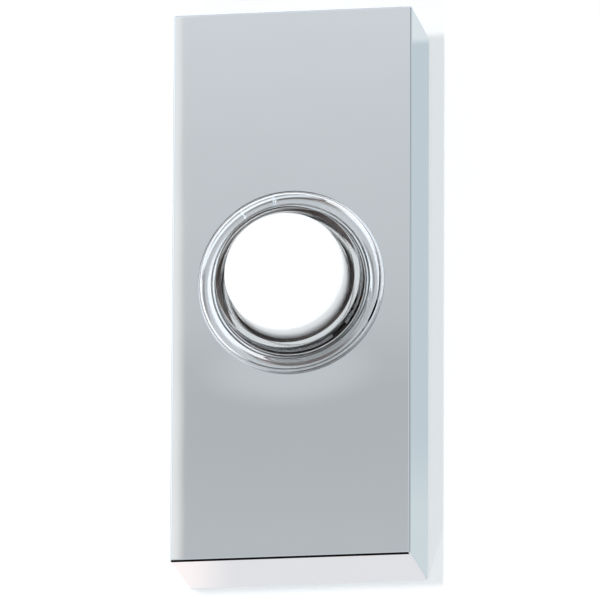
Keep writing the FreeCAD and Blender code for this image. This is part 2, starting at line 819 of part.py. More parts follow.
def makeBackplate():
    body = addBody("backplate")
    plate = addSketch(body, "plate")
    drawCentredBox(plate, "plate_x", "plate_y")
    pad(body, plate, "plate_thickness")
    roundEdges(body, "corners", "plate_corner_radius", isUpright)
    # Stiffening rim just inside the cover
    rim = addSketch(body, "rim", "plate_thickness")
    for inset in ("plate_corner_radius", "plate_corner_radius - rim_thickness"):
        drawCentredBox(rim, "plate_x - " + inset, "plate_y - " + inset)
    pad(body, rim, "rim_height")
    bosses = addSketch(body, "bosses", "plate_thickness")
    for up in (-1, 1):
        drawCircle(bosses, "mount_boss_radius", "0", "%d * mount_spacing / 2" % up)
    pad(body, bosses, "mount_boss_height")
    # Four hooks that hold the cover's catches
    hookInner = "hook_outer - hook_thickness"
    noseOuter = "hook_outer + nose_projection"
    noseBase = "nose_low"
    noseTop = "nose_low + nose_land_height"
    hookTop = noseTop + " + nose_slope_height"
    for across, up in cornerSigns:
        name = ("left" if across < 0 else "right") + ("_low" if up < 0 else "_high")
        hook = addSketch(body, name + "_hook", "%d * catch_offset" % up, plane="XZ_Plane")
        profile = [
            (hookInner, "plate_thickness / 2"),
            ("hook_outer", "plate_thickness / 2"),
            ("hook_outer", noseBase),
            (noseOuter, noseBase),
            (noseOuter, noseTop),
            ("hook_outer - hook_thickness / 3", hookTop),
            (hookInner, hookTop),
        ]
        drawOutline(hook, [("%d * (%s)" % (across, x), height) for x, height in profile])
        pad(body, hook, "hook_width", bothWays=True)
    window = addSketch(body, "window")
    drawCentredBox(window, "pocket_x", "pocket_y")
    cut(body, window, "plate_thickness")
    roundEdges(body, "window_corners", "cavity_corner_radius", uprightAt("pocket_x", "pocket_y"))
    holes = addSketch(body, "holes")
    for up in (-1, 1):
        drawCircle(holes, "mount_hole_radius", "0", "%d * mount_spacing / 2" % up)
    drawAtScrews(holes, lambda sketch, x, y: drawCircle(sketch, "screw_radius + screw_clearance", x, y))
    cut(body, holes, "plate_thickness + mount_boss_height")


makeFrontCover()
makeLensRing()
makeLensRetainer()
makeButtonCap()
makePlunger()
makePlungerClip()
makeReturnSpring()
makeLampBoard()
makeLamp("lamp_low_left", -1, -1)
makeLamp("lamp_low_right", 1, -1)
makeLamp("lamp_high_right", 1, 1)
makeLamp("lamp_high_left", -1, 1)
makeResistor()
makeBoardLeads()
makeGuidePlate()
makeHousingScrews()
makeSwitchHousing()
makeFixedContact()
makeContactRivet()
makeMovingContact()
makeTerminal("left", -1, "fixed_thickness")
makeTerminal("right", 1, "leaf_thickness")
makeBackplate()
doc.recompute()

for item in doc.Objects:
    if "Invalid" in item.State or "Error" in item.State:
        raise ValueError(item.Name + " did not compute")
bodies = [item for item in doc.Objects if item.TypeId == "PartDesign::Body"]
for body in bodies:
    if body.Shape.isNull() or not body.Shape.isValid():
        raise ValueError(body.Label + " has no valid shape")

os.makedirs("parts", exist_ok=True)
for body in bodies:
    body.Shape.exportStep("parts/%s.step" % body.Label)
    print(body.Label, len(body.Shape.Solids), round(body.Shape.Volume, 2))
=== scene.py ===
import math
import bmesh
import bpy
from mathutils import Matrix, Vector


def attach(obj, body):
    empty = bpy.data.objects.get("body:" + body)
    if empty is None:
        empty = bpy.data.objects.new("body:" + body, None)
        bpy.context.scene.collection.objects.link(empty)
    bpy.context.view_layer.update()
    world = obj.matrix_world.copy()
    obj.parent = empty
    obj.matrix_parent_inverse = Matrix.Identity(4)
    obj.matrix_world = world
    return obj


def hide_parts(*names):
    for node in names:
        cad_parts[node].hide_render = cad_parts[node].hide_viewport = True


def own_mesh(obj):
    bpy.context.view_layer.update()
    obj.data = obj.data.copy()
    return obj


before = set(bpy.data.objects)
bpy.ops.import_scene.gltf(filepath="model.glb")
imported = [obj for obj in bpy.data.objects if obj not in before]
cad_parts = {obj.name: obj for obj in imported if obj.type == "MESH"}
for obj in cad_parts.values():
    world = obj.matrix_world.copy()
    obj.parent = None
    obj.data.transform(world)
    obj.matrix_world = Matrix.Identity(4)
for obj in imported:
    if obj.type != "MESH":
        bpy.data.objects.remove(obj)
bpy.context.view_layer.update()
mm = 0.001
print("doorbell push: frame loaded")


# shader expressions

class Wire:
    def __init__(self, tree, socket=None):
        self.tree = tree
        self.socket = socket

    def node(self, kind, settings=None, inputs=None, out=0):
        made = self.tree.nodes.new(kind)
        for key, setting in (settings or {}).items():
            if key == "stops":
                setStops(made.color_ramp, setting)
            else:
                setattr(made, key, setting)
        for key, given in (inputs or {}).items():
            if isinstance(given, Wire):
                self.tree.links.new(given.socket, made.inputs[key])
            else:
                made.inputs[key].default_value = given
        return Wire(self.tree, made.outputs[out])

    def other(self, name):  # another output of the same node
        return Wire(self.tree, self.socket.node.outputs[name])

    def reckon(self, operation, first, second):
        return self.node("ShaderNodeMath", {"operation": operation}, {0: first, 1: second})

    def __add__(self, other):
        return self.reckon("ADD", self, other)

    def __radd__(self, other):
        return self.reckon("ADD", other, self)

    def __sub__(self, other):
        return self.reckon("SUBTRACT", self, other)

    def __rsub__(self, other):
        return self.reckon("SUBTRACT", other, self)

    def __mul__(self, other):
        return self.reckon("MULTIPLY", self, other)

    def __rmul__(self, other):
        return self.reckon("MULTIPLY", other, self)

    def __truediv__(self, other):
        return self.reckon("DIVIDE", self, other)

    def __rtruediv__(self, other):
        return self.reckon("DIVIDE", other, self)

    def over(self, limit):  # 1 above the limit, 0 below
        return self.reckon("GREATER_THAN", self, limit)

    def under(self, limit):
        return self.reckon("LESS_THAN", self, limit)

    def span(self, low, high):  # 0 at low, 1 at high, smooth between
        return self.node("ShaderNodeMapRange", {"interpolation_type": "SMOOTHSTEP"},
                         {"Value": self, "From Min": low, "From Max": high})

    def blend(self, first, second):  # colour mix by this value
        return self.node("ShaderNodeMix", {"data_type": "RGBA"},
                         {0: self, 6: first, 7: second}, out=2)


def setStops(ramp, stops):
    while len(ramp.elements) > 1:
        ramp.elements.remove(ramp.elements[-1])
    ramp.elements[0].position, ramp.elements[0].color = stops[0][0], rgba(stops[0][1])
    for position, colour in stops[1:]:
        ramp.elements.new(position).color = rgba(colour)


def rgba(colour):
    return (colour[0], colour[1], colour[2], 1.0)


def shades(tint, stops):  # stops: (position, share of the tint)
    return [(position, [c * share for c in tint]) for position, share in stops]


def startMaterial(name):
    material = bpy.data.materials.new(name)
    material.use_nodes = True
    material.node_tree.nodes.clear()
    return material, Wire(material.node_tree)


def endMaterial(material, surface):
    output = material.node_tree.nodes.new("ShaderNodeOutputMaterial")
    material.node_tree.links.new(surface.socket, output.inputs["Surface"])
    return material


def place(wire):  # object coordinates
    return wire.node("ShaderNodeTexCoord").other("Object")


def acrossAndUp(wire, vector):
    axes = wire.node("ShaderNodeSeparateXYZ", {}, {0: vector})
    return axes.other("X"), axes.other("Z")


def noise(wire, vector, scale, detail=3.0, rough=0.55):
    return wire.node("ShaderNodeTexNoise", {}, {"Vector": vector, "Scale": scale, "Detail": detail,
                                                "Roughness": rough})


def stretch(wire, vector, scale):
    return wire.node("ShaderNodeVectorMath", {"operation": "MULTIPLY"}, {0: vector, 1: scale})


def bump(wire, height, strength, distance):
    return wire.node("ShaderNodeBump", {}, {"Height": height, "Strength": strength, "Distance": distance})


# mesh helpers

def newObject(name, mesh, material):
    piece = bpy.data.objects.new(name, mesh)
    bpy.context.scene.collection.objects.link(piece)
    piece.data.materials.append(material)
    return piece


def finishForm(form, name, material):
    bmesh.ops.recalc_face_normals(form, faces=form.faces)
    mesh = bpy.data.meshes.new(name)
    form.to_mesh(mesh)
    form.free()
    mesh.shade_smooth()
    return newObject(name, mesh, material)


def skin(name, rings, material):
    # rings of points in metres, joined one to the next and closed at both ends
    form = bmesh.new()
    rows = [[form.verts.new(point) for point in ring] for ring in rings]
    for row, after in zip(rows, rows[1:]):
        for side in range(len(row)):
            form.faces.new([row[side], row[side - 1], after[side - 1], after[side]])
    form.faces.new(rows[0])
    form.faces.new(rows[-1][::-1])
    return finishForm(form, name, material)


def lathe(name, outline, segments, material, extraAngles=(), shift=None):
    # outline: (radius, distance from the wall) in mm, closed, turned about the Y axis
    # shift gives a change of that distance at an angle in degrees, for small steps round the form
    form = bmesh.new()
    rings = []
    angles = sorted({360.0 * index / segments for index in range(segments)} | set(extraAngles))
    count = len(angles)
    for radius, depth in outline:
        if radius < 1e-6:
            rings.append([form.verts.new((0, -depth * mm, 0))] * count)
            continue
        ring = []
        for angle in angles:
            turn = math.radians(angle)
            moved = depth + (shift(radius, depth, angle) if shift else 0)
            across, up = radius * mm * math.cos(turn), radius * mm * math.sin(turn)
            ring.append(form.verts.new((across, -moved * mm, up)))
        rings.append(ring)
    for row, ring in enumerate(rings):
        after = rings[(row + 1) % len(rings)]
        for index in range(count):
            nextIndex = (index + 1) % count
            corners = [ring[index], ring[nextIndex], after[nextIndex], after[index]]
            unique = list(dict.fromkeys(corners))
            if len(unique) > 2:
                form.faces.new(unique)
    return finishForm(form, name, material)


def roundedOutline(corners, steps=8):
    # corners: (radius, depth, rounding); each rounding becomes a tangent arc
    points = []
    count = len(corners)
    for index, (radius, depth, rounding) in enumerate(corners):
        here = Vector((radius, depth))
        if rounding <= 0:
            points.append(tuple(here))
            continue
        before = Vector(corners[index - 1][:2]) - here
        after = Vector(corners[(index + 1) % count][:2]) - here
        half = before.angle(after) / 2
        reach = rounding / math.tan(half)
        centre = here + (before.normalized() + after.normalized()).normalized() * (rounding / math.sin(half))
        start = here + before.normalized() * reach - centre
        end = here + after.normalized() * reach - centre
        sweep = start.angle_signed(end)
        for step in range(steps + 1):
            turn = -sweep * step / steps
            x = start.x * math.cos(turn) - start.y * math.sin(turn)
            y = start.x * math.sin(turn) + start.y * math.cos(turn)
            points.append((centre.x + x, centre.y + y))
    return points


def smoothByAngle(piece, degrees=35):
    edges = bmesh.new()
    edges.from_mesh(piece.data)
    for edge in edges.edges:
        sharp = len(edge.link_faces) != 2 or edge.calc_face_angle() > math.radians(degrees)
        edge.smooth = not sharp
    edges.to_mesh(piece.data)
    edges.free()


# finishes

def polishedPlating():
    look = {"tint": (0.60, 0.645, 0.675), "brighter": 1.012, "roughness": 0.022, "haze": 0.012,
            "wipe": 0.008, "hazeScale": 60.0, "wipeScale": (900.0, 900.0, 60.0), "rippleScale": 45.0,
            "wave": 0.004, "waveHigh": 0.002}
    material, wire = startMaterial("polished_plating")
    spot = place(wire)
    haze = noise(wire, spot, look["hazeScale"], 4.0)
    wipe = noise(wire, stretch(wire, spot, look["wipeScale"]), 1.0, 2.0)
    roughness = look["roughness"] + (haze - 0.5) * look["haze"] + (wipe - 0.5) * look["wipe"]
    tint = haze.span(0.3, 0.7).blend(rgba(look["tint"]), rgba([c * look["brighter"] for c in look["tint"]]))
    ripple = noise(wire, spot, look["rippleScale"], 1.0)
    surface = wire.node("ShaderNodeBsdfPrincipled", {}, {
        "Base Color": tint, "Metallic": 1.0, "Roughness": roughness,
        "Normal": bump(wire, ripple, look["wave"], look["waveHigh"])})
    return endMaterial(material, surface)


def clearPlastic():
    look = {"tint": (0.985, 0.99, 0.995), "roughness": 0.01, "bend": 1.49, "flowScale": 150.0,
            "flowRough": 0.008, "wave": 0.02, "waveHigh": 0.0004}
    material, wire = startMaterial("clear_plastic")
    flow = noise(wire, place(wire), look["flowScale"], 1.0)
    surface = wire.node("ShaderNodeBsdfPrincipled", {}, {
        "Base Color": rgba(look["tint"]), "Transmission Weight": 1.0, "IOR": look["bend"],
        "Roughness": look["roughness"] + flow * look["flowRough"],
        "Normal": bump(wire, flow, look["wave"], look["waveHigh"])})
    return endMaterial(material, surface)


def glowPaintedCapPlastic():
    # painted glow: the cap has an emission of its own in place of the light of the lamps behind it, full on
    # its front, fading down its side wall as painted shade, and half as strong on its flange dark and lit,
    # where the painted glow starts and where it is full, and flangeEnd are distances from the wall in
    # metres, flangeSoft the width of the change
    look = {"tint": (0.93, 0.945, 0.95), "cloudy": 0.985, "glow": (0.96, 0.985, 1.0), "strength": 0.42,
            "dark": 0.0185, "lit": 0.0246, "flange": 0.5, "flangeEnd": 0.0150, "flangeSoft": 0.0006,
            "roughness": 0.28, "grainRough": 0.06, "grainScale": 2600.0, "cloudScale": 140.0,
            "wave": 0.03, "waveHigh": 0.0002}
    material, wire = startMaterial("cap_plastic_painted_glow")
    spot = place(wire)
    grain = noise(wire, spot, look["grainScale"], 2.0)
    cloud = noise(wire, spot, look["cloudScale"], 2.0)
    tint = cloud.blend(rgba(look["tint"]), rgba([c * look["cloudy"] for c in look["tint"]]))
    depth = 0 - wire.node("ShaderNodeSeparateXYZ", {}, {0: spot}).other("Y")
    # painted glow by distance from the wall: none deep in the well, full at the front; the darker lower side
    # wall is painted shade
    front = depth.span(look["dark"], look["lit"])
    flange = 1 - depth.span(look["flangeEnd"] - look["flangeSoft"], look["flangeEnd"])
    glow = (front + flange * look["flange"]).blend(rgba((0, 0, 0)), rgba(look["glow"]))
    surface = wire.node("ShaderNodeBsdfPrincipled", {}, {
        "Base Color": tint, "Roughness": look["roughness"] + grain * look["grainRough"],
        "Emission Color": glow, "Emission Strength": look["strength"],
        "Normal": bump(wire, grain, look["wave"], look["waveHigh"])})
    return endMaterial(material, surface)


def metalFinish(name, tint, roughness, grainScale, brushed=(1.0, 1.0, 1.0)):
    grain = {"patchScale": 160.0, "darker": 0.9, "rough": 0.18, "wave": 0.08, "waveHigh": 0.0003}
    material, wire = startMaterial(name)
    spot = place(wire)
    lines = noise(wire, stretch(wire, spot, brushed), grainScale)
    patch = noise(wire, spot, grain["patchScale"])
    colour = patch.span(0.25, 0.75).blend(rgba([c * grain["darker"] for c in tint]), rgba(tint))
    surface = wire.node("ShaderNodeBsdfPrincipled", {}, {
        "Base Color": colour, "Metallic": 1.0, "Roughness": roughness + (lines - 0.5) * grain["rough"],
        "Normal": bump(wire, lines, grain["wave"], grain["waveHigh"])})
    return endMaterial(material, surface)


def mouldedPlastic(name, tint, roughness, sparkScale=3200.0, wave=0.12):
    grain = {"flowScale": 70.0, "flowStretch": (1.0, 1.0, 0.35), "darker": 0.88, "lighter": 1.06,
             "rough": 0.14, "waveHigh": 0.0002}
    material, wire = startMaterial(name)
    spot = place(wire)
    spark = noise(wire, spot, sparkScale)
    flow = noise(wire, stretch(wire, spot, grain["flowStretch"]), grain["flowScale"], 2.0)
    colour = flow.span(0.3, 0.7).blend(rgba([c * grain["darker"] for c in tint]),
                                       rgba([c * grain["lighter"] for c in tint]))
    surface = wire.node("ShaderNodeBsdfPrincipled", {}, {
        "Base Color": colour, "Roughness": roughness + (spark - 0.5) * grain["rough"],
        "Normal": bump(wire, spark, wave, grain["waveHigh"])})
    return endMaterial(material, surface)


finishes = {
    "plating": polishedPlating(),
    "retainer": metalFinish("rolled_steel", (0.62, 0.63, 0.64), 0.3, 1500.0, (1.0, 0.2, 1.0)),
    "natural": mouldedPlastic("natural_nylon", (0.80, 0.79, 0.74), 0.42),
    "brown": mouldedPlastic("brown_nylon", (0.085, 0.035, 0.026), 0.38),
    "clip": metalFinish("blued_steel", (0.13, 0.14, 0.17), 0.3, 1800.0),
    "coil": metalFinish("spring_wire", (0.66, 0.66, 0.67), 0.22, 2500.0, (1.0, 3.0, 1.0)),
    "board": mouldedPlastic("board_laminate", (0.86, 0.88, 0.84), 0.35, 5200.0, 0.2),
    "lamp": mouldedPlastic("lamp_case", (0.92, 0.90, 0.76), 0.25, 2600.0, 0.05),
    "chip": mouldedPlastic("resistor_chip", (0.03, 0.03, 0.035), 0.4, 4000.0),
    "tinned": metalFinish("tinned_wire", (0.76, 0.76, 0.77), 0.28, 2200.0),
    "black": mouldedPlastic("black_moulding", (0.035, 0.036, 0.04), 0.42),
    "plate": mouldedPlastic("plate_moulding", (0.05, 0.051, 0.055), 0.48),
    "brass": metalFinish("stamped_brass", (0.80, 0.60, 0.30), 0.26, 1900.0, (0.15, 1.0, 1.0)),
    "silver": metalFinish("silver_contact", (0.84, 0.83, 0.80), 0.2, 2600.0),
    "zinc": metalFinish("zinc_plating", (0.68, 0.69, 0.68), 0.3, 2400.0),
    "turnedBrass": metalFinish("turned_brass", (0.78, 0.62, 0.34), 0.24, 2400.0),
}
nodeFinish = {
    "front_cover": "plating", "lens_retainer": "retainer", "plunger": "natural",
    "plunger_clip": "clip", "lamp_board": "board", "lamp_low_left": "lamp", "lamp_low_right": "lamp",
    "lamp_high_right": "lamp", "lamp_high_left": "lamp", "board_resistor": "chip",
    "board_leads": "tinned", "guide_plate": "brown", "housing_screws": "zinc",
    "switch_housing": "black", "fixed_contact": "brass", "contact_rivet": "silver",
    "terminal_screw_left": "turnedBrass", "terminal_screw_right": "turnedBrass",
    "terminal_washer_left": "zinc", "terminal_washer_right": "zinc", "backplate": "plate",
}
for nodeName, finish in nodeFinish.items():
    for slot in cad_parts[nodeName].material_slots:
        slot.material = finishes[finish]
print("doorbell push: finishes on the packed pieces")


# pieces that take the place of packed ones

def makeLensRing():
    # radii in mm; back and face are distances from the wall, the heights start at the cover's face
    ring = {"bore": 9.8, "barrel": 12.3, "back": 14.2, "face": 18.0, "gap": 0.02, "endRound": 0.15,
            "beadOuter": 14.8, "beadInner": 12.1, "beadHigh": 1.6, "beadFootRound": 0.05,
            "beadOuterRound": 1.3, "beadInnerRound": 1.15, "web": 0.4, "grooveRound": 0.2,
            "channelInner": 12.75, "channelOuter": 14.05, "channelDeep": 0.8, "channelRound": 0.1,
            "collarFoot": 11.8, "collarFootRound": 0.1, "collarHigh": 3.6, "crestOuter": 11.5,
            "crestOuterRound": 0.12, "crestInner": 10.65, "crestInnerRound": 0.06, "funnel": 0.85,
            "segments": 256}
    key = {"from": 101.4, "to": 123.9, "drop": 0.12, "wall": 0.35}  # flat on the bead, angles in degrees
    hair = 0.01
    face = ring["face"]
    seat = face + ring["gap"]  # air under the bead, so that it and the cover share no face
    channelTop = face + ring["channelDeep"]
    beadTop = face + ring["beadHigh"]
    webTop = face + ring["web"]
    crest = face + ring["collarHigh"]
    corners = [
        (ring["bore"], ring["back"], ring["endRound"]), (ring["barrel"], ring["back"], ring["endRound"]),
        (ring["barrel"], seat, 0), (ring["channelInner"], seat, 0),
        (ring["channelInner"], channelTop, ring["channelRound"]),
        (ring["channelOuter"], channelTop, ring["channelRound"]),
        (ring["channelOuter"], seat, 0), (ring["beadOuter"], seat, ring["beadFootRound"]),
        (ring["beadOuter"], beadTop, ring["beadOuterRound"]),
        (ring["beadInner"], beadTop, ring["beadInnerRound"]),
        (ring["beadInner"], webTop, ring["grooveRound"]),
        (ring["collarFoot"], webTop, ring["collarFootRound"]),
        (ring["crestOuter"], crest, ring["crestOuterRound"]),
        (ring["crestInner"], crest, ring["crestInnerRound"]),
        (ring["bore"], crest - ring["funnel"], ring["endRound"]),
    ]

    def dropKey(radius, depth, angle):
        onBead = radius > ring["beadInner"] - hair and depth > channelTop + 5 * hair
        inKey = key["from"] - hair < angle < key["to"] + hair
        return -key["drop"] if onBead and inKey else 0

    keyEnds = [key["from"] - key["wall"], key["from"], key["to"], key["to"] + key["wall"]]
    outline = roundedOutline(corners)
    piece = lathe("clear_lens_ring", outline, ring["segments"], clearPlastic(), keyEnds, dropKey)
    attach(piece, "bell_push")
    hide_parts("lens_ring")
    return piece


def makeCap():
    # radii, and distances from the wall, in mm
    cap = {"round": 9.5, "front": 25.2, "back": 13.0, "flange": 11.0, "flangeThick": 1.2,
           "flangeRound": 0.15, "stepRound": 0.1, "side": 1.2, "face": 1.2, "edge": 0.6,
           "boss": 3.2, "bossBack": 21.0, "bossRound": 0.1, "bossFootRound": 0.3,
           "innerRound": 0.4, "socket": 1.83, "segments": 192}
    inner = cap["front"] - cap["face"]
    bore = cap["round"] - cap["side"]
    step = cap["back"] + cap["flangeThick"]
    corners = [
        (bore, cap["back"], 0), (cap["flange"], cap["back"], cap["flangeRound"]),
        (cap["flange"], step, cap["stepRound"]), (cap["round"], step, cap["stepRound"]),
        (cap["round"], cap["front"], cap["edge"]), (0, cap["front"], 0), (0, inner, 0),
        (cap["socket"], inner, 0), (cap["socket"], cap["bossBack"], 0),
        (cap["boss"], cap["bossBack"], cap["bossRound"]), (cap["boss"], inner, cap["bossFootRound"]),
        (bore, inner, cap["innerRound"]),
    ]
    piece = lathe("glow_painted_cap", roundedOutline(corners), cap["segments"], glowPaintedCapPlastic())
    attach(piece, "button")
    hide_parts("button_cap")
    return piece


def makeReturnSpring():
    # low and high are the coil's ends, as distances from the wall in mm
    coil = {"radius": 4.0, "wire": 0.25, "turns": 5.5, "low": 11.25, "high": 19.95,
            "stepsPerTurn": 48, "sides": 12}
    steps = int(coil["turns"] * coil["stepsPerTurn"])
    rings = []
    for step in range(steps + 1):
        share = step / steps
        angle = 2 * math.pi * coil["turns"] * share
        depth = coil["low"] + coil["wire"] + (coil["high"] - coil["low"] - 2 * coil["wire"]) * share
        outward = Vector((math.cos(angle), 0, math.sin(angle)))
        centre = outward * coil["radius"] * mm + Vector((0, -depth * mm, 0))
        ring = []
        for side in range(coil["sides"]):
            turn = 2 * math.pi * side / coil["sides"]
            offset = outward * math.cos(turn) + Vector((0, 1, 0)) * math.sin(turn)
            ring.append(centre + offset * coil["wire"] * mm)
        rings.append(ring)
    piece = skin("return_coil", rings, finishes["coil"])
    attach(piece, "bell_push")
    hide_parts("return_spring")
    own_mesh(piece)
    return piece


def makeMovingContact():
    leaf = {"wide": 4.0, "thick": 0.25, "seatEnd": 11.8, "seatStart": 5.6, "rampEnd": 3.4, "bend": 0.6,
            "tip": -6.0, "tipTaper": 0.5, "rise": 2.15, "seat": 6.0, "steps": 8}
    foot, top = leaf["seatStart"] + leaf["bend"], leaf["rampEnd"] - leaf["bend"]  # ends of the ramp
    path = [(leaf["seatEnd"], 0.0), (foot, 0.0)]
    for step in range(1, leaf["steps"]):
        share = step / leaf["steps"]
        ease = share * share * (3 - 2 * share)
        path.append((foot + (top - foot) * share, leaf["rise"] * ease))
    path += [(x, leaf["rise"]) for x in (top, leaf["tip"] + leaf["tipTaper"], leaf["tip"])]
    rings = []
    for x, height in path:
        half = leaf["wide"] / 2 - (leaf["tipTaper"] if x == leaf["tip"] else 0.0)
        low = leaf["seat"] + height
        high = low + leaf["thick"]
        rings.append([(x * mm, -depth * mm, z * mm)
                      for z, depth in ((-half, low), (half, low), (half, high), (-half, high))])
    piece = skin("moving_leaf", rings, finishes["brass"])
    smoothByAngle(piece)
    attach(piece, "bell_push")
    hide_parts("moving_contact")
    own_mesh(piece)
    return piece


makeLensRing()
makeCap()
makeReturnSpring()
makeMovingContact()
print("doorbell push: ring, cap, coil and leaf made")


# stage, light and camera

def plane(name, corners, material):
    mesh = bpy.data.meshes.new(name)
    mesh.from_pydata(corners, [], [(0, 1, 2, 3)])
    piece = newObject(name, mesh, material)
    return piece


def upright(start, end, low, high):  # from one place on the plan to another
    return [(*start, low), (*end, low), (*end, high), (*start, high)]


def flat(left, right, front, back, height):
    return [(left, front, height), (right, front, height), (right, back, height), (left, back, height)]


def wallMaterial():
    # painted reflection: glossy rays see the wall right of the push in a painted bluish shade, lighter lower
    # down and above the push's top, and the wall below it painted brighter than white, most towards the
    # left; the polished side and bottom faces mirror these as painted shade and painted light
    tone = {"paint": (0.86, 0.87, 0.88), "fill": (0.440, 0.456, 0.463), "right": 0.0185, "low": -0.0445,
            "beside": (0.655, 0.735, 0.785), "paintedShadeEnds": (0.76, 0.84, 0.86), "ends": (-0.018, -0.036),
            "paintedShadeTop": (0.883, 0.947, 0.973), "top": (0.0432, 0.0446),
            "below": (1.06, 1.02, 1.03), "paintedLightBelowLeft": (1.40, 1.25, 1.21), "left": (-0.011, -0.021)}
    material, wire = startMaterial("backdrop_paint")
    matte = wire.node("ShaderNodeBsdfDiffuse", {}, {"Color": rgba(tone["paint"])})
    path = wire.node("ShaderNodeLightPath")
    glossy = path.other("Is Glossy Ray")
    seen = path + glossy + path.other("Is Transmission Ray")
    glow = wire.node("ShaderNodeEmission", {}, {"Color": rgba(tone["fill"]), "Strength": seen})
    plain = wire.node("ShaderNodeAddShader", {}, {0: matte, 1: glow})
    across, up = acrossAndUp(wire, place(wire))
    # painted shade beside the push and painted light below it, for glossy rays only
    beside = up.span(*tone["ends"]).blend(rgba(tone["beside"]), rgba(tone["paintedShadeEnds"]))
    beside = up.span(*tone["top"]).blend(beside, rgba(tone["paintedShadeTop"]))
    below = across.span(*tone["left"]).blend(rgba(tone["below"]), rgba(tone["paintedLightBelowLeft"]))
    isLow = up.under(tone["low"])
    near = wire.reckon("MAXIMUM", across.over(tone["right"]), isLow)
    edge = wire.node("ShaderNodeEmission", {}, {"Color": isLow.blend(beside, below), "Strength": 1.0})
    front = wire.node("ShaderNodeMixShader", {}, {0: near * glossy, 1: plain, 2: edge})
    behind = wire.node("ShaderNodeNewGeometry").other("Backfacing")  # the back views look through the wall
    clear = wire.node("ShaderNodeBsdfTransparent")
    return endMaterial(material, wire.node("ShaderNodeMixShader", {}, {0: behind, 1: front, 2: clear}))


def cardMaterial():
    # what the polished front mirrors: grey, lighter towards the top, and a white strip at the left
    card = {"low": 0.0289, "high": 0.1268, "left": -0.0694, "right": -0.0656, "mirror": 0.645,
            "tint": (1.011, 1.006, 1.009), "stripTint": (1.05, 1.0, 0.97)}
    upStops = ((0.0, 0.474), (0.09, 0.458), (0.18, 0.446), (0.28, 0.444), (0.34, 0.466), (0.42, 0.512),
               (0.56, 0.538), (0.76, 0.571), (0.90, 0.604), (1.0, 0.630))
    leftStops = ((0.0, 1.0), (0.12, 0.90), (0.25, 0.79), (0.48, 0.735), (0.62, 0.62), (0.78, 0.53),
                 (1.0, 0.0))
    # painted reflection: a lighter patch on the card, placed so that the cover mirrors it under the ring;
    # the ring itself does not see it
    paintedHalo = {"at": (-0.0470, 0.0608), "size": (0.0182, 0.0077), "core": 0.08, "colour": (0.538, 0.535, 0.537)}
    # painted shade and highlights that show only through the clear ring: two dark patches, one brownish, a
    # white patch and a small peach highlight; place, size, colour, amount
    paintedRingSpots = (((-0.040, 0.030), (0.045, 0.032), (0.08, 0.055, 0.05), 0.95),
             ((0.0, 0.083), (0.022, 0.022), (0.16, 0.13, 0.13), 0.75),
             ((-0.068, 0.072), (0.014, 0.026), (0.93, 0.96, 1.0), 0.75),
             ((-0.058, 0.042), (0.006, 0.004), (0.95, 0.72, 0.62), 0.8))
    spotCore = 0.15
    material, wire = startMaterial("grey_card")
    across, up = acrossAndUp(wire, place(wire))

    def roundPatch(at, size, core):  # 1 inside the core, 0 at the rim
        aside, above = (across - at[0]) * (1 / size[0]), (up - at[1]) * (1 / size[1])
        return 1 - (aside * aside + above * above).span(core, 1.0)

    level = (up - card["low"]) / (card["high"] - card["low"])
    grey = wire.node("ShaderNodeValToRGB", {"stops": shades(card["tint"], upStops)}, {0: level})
    beside = (across - card["left"]) / (card["right"] - card["left"])
    strip = wire.node("ShaderNodeValToRGB", {"stops": shades(card["stripTint"], leftStops)}, {0: beside})
    shown = wire.node("ShaderNodeMix", {"data_type": "RGBA", "blend_type": "LIGHTEN"},
                      {0: 1.0, 6: grey, 7: strip}, out=2)
    through = wire.node("ShaderNodeLightPath").other("Is Transmission Ray")
    paintedHaloMask = roundPatch(paintedHalo["at"], paintedHalo["size"], paintedHalo["core"]) * (1 - through)
    shown = paintedHaloMask.blend(shown, rgba(paintedHalo["colour"]))
    for at, size, colour, amount in paintedRingSpots:
        shown = (roundPatch(at, size, spotCore) * through * amount).blend(shown, rgba(colour))
    return endMaterial(material, wire.node("ShaderNodeEmission", {}, {
        "Color": shown, "Strength": 1 / card["mirror"]}))


def emitter(name, colour, strength, throughOnly=False):
    material, wire = startMaterial(name)
    glow = wire.node("ShaderNodeEmission", {}, {"Color": rgba(colour), "Strength": strength})
    if throughOnly:  # shows only through clear plastic
        through = wire.node("ShaderNodeLightPath").other("Is Transmission Ray")
        clear = wire.node("ShaderNodeBsdfTransparent")
        glow = wire.node("ShaderNodeMixShader", {}, {0: through, 1: clear, 2: glow})
    return endMaterial(material, glow)


def floorMaterial():
    tone = {"paint": (0.9, 0.9, 0.9), "fill": (0.30, 0.31, 0.32)}  # the fill shows only in polished metal
    material, wire = startMaterial("floor_paint")
    glossy = wire.node("ShaderNodeLightPath").other("Is Glossy Ray")
    matte = wire.node("ShaderNodeBsdfDiffuse", {}, {"Color": rgba(tone["paint"])})
    glow = wire.node("ShaderNodeEmission", {}, {"Color": rgba(tone["fill"]), "Strength": glossy})
    return endMaterial(material, wire.node("ShaderNodeAddShader", {}, {0: matte, 1: glow}))


